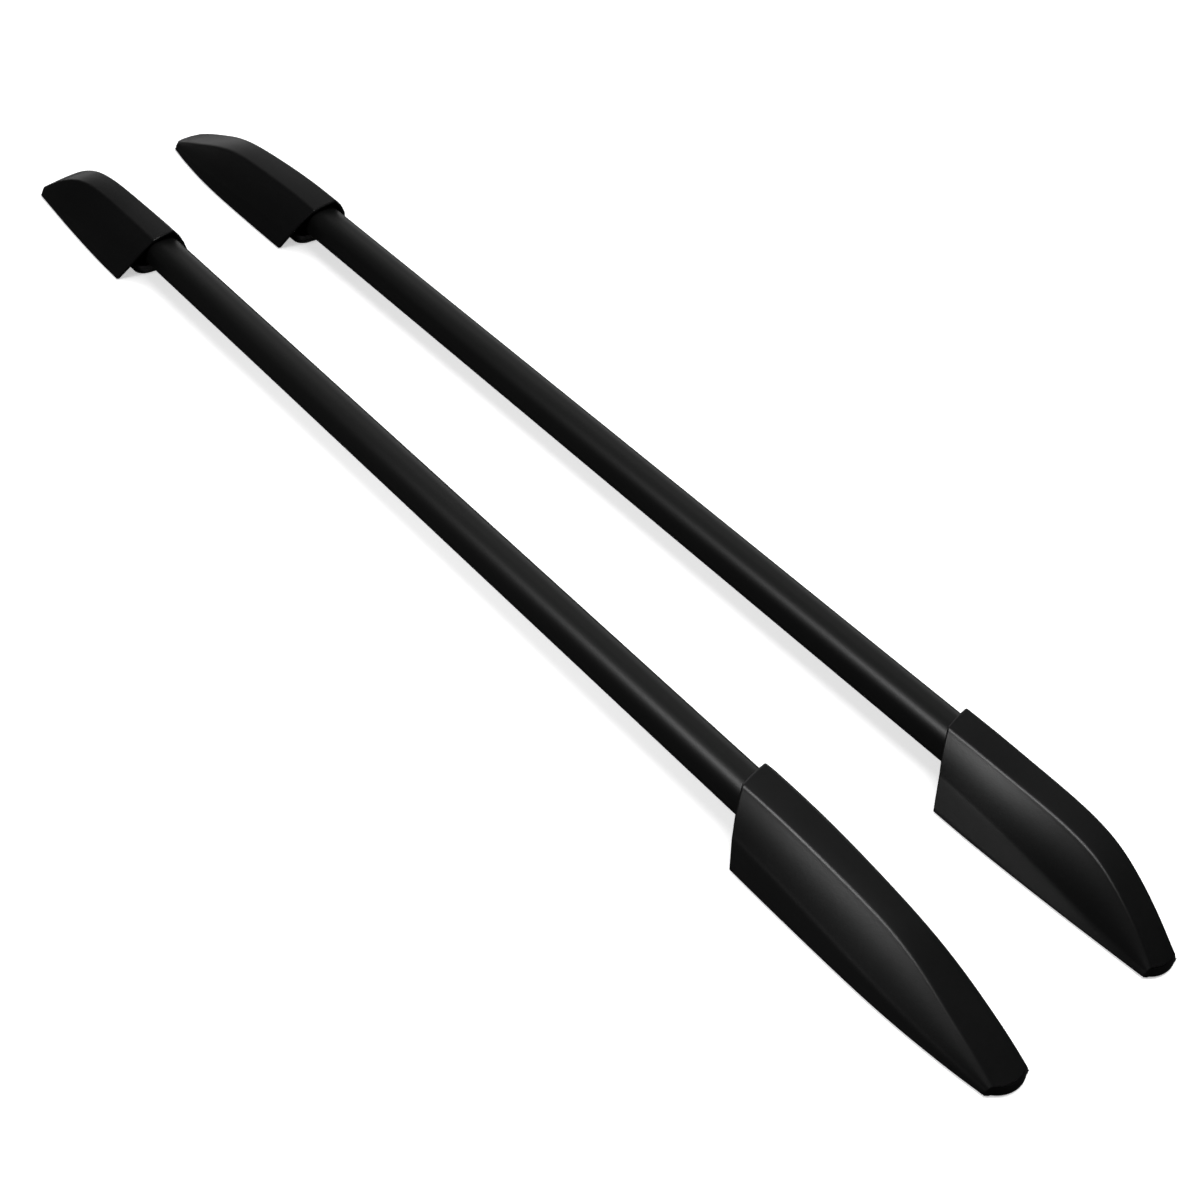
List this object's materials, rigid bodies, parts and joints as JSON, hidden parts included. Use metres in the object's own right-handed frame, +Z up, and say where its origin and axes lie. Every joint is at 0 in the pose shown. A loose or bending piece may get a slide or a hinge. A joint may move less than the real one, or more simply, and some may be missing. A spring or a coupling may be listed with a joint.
{
  "type": "pair of roof rails",
  "caption": "Black roof side rails laid head to tail, each an oval tube between a sleek and a blunt moulded end cover over bolted feet.",
  "frame": {"origin": "middle of the pair at the level of the roof", "axes": "+X along the rails towards the left rail's front end, +Y across to the right rail, +Z up"},
  "size_m": [1.63, 0.2604, 0.0575],
  "materials": {
    "tube_coat": "satin black",
    "cover_plastic": "satin black, fine grain",
    "foot_casting": "cast, dull",
    "gasket_rubber": "matt",
    "screw_steel": "zinc plated"
  },
  "bodies": {
    "root": {"left_tube": "tube_coat", "left_front_cover": "cover_plastic", "left_rear_cover": "cover_plastic", "left_front_foot": "foot_casting", "left_rear_foot": "foot_casting", "left_front_gasket": "gasket_rubber", "left_rear_gasket": "gasket_rubber", "left_front_tube_screws": "screw_steel", "left_rear_tube_screws": "screw_steel", "left_front_cover_screws": "screw_steel", "left_rear_cover_screws": "screw_steel", "right_tube": "tube_coat", "right_front_cover": "cover_plastic", "right_rear_cover": "cover_plastic", "right_front_foot": "foot_casting", "right_rear_foot": "foot_casting", "right_front_gasket": "gasket_rubber", "right_rear_gasket": "gasket_rubber", "right_front_tube_screws": "screw_steel", "right_rear_tube_screws": "screw_steel", "right_front_cover_screws": "screw_steel", "right_rear_cover_screws": "screw_steel"}
  },
  "joints": []
}
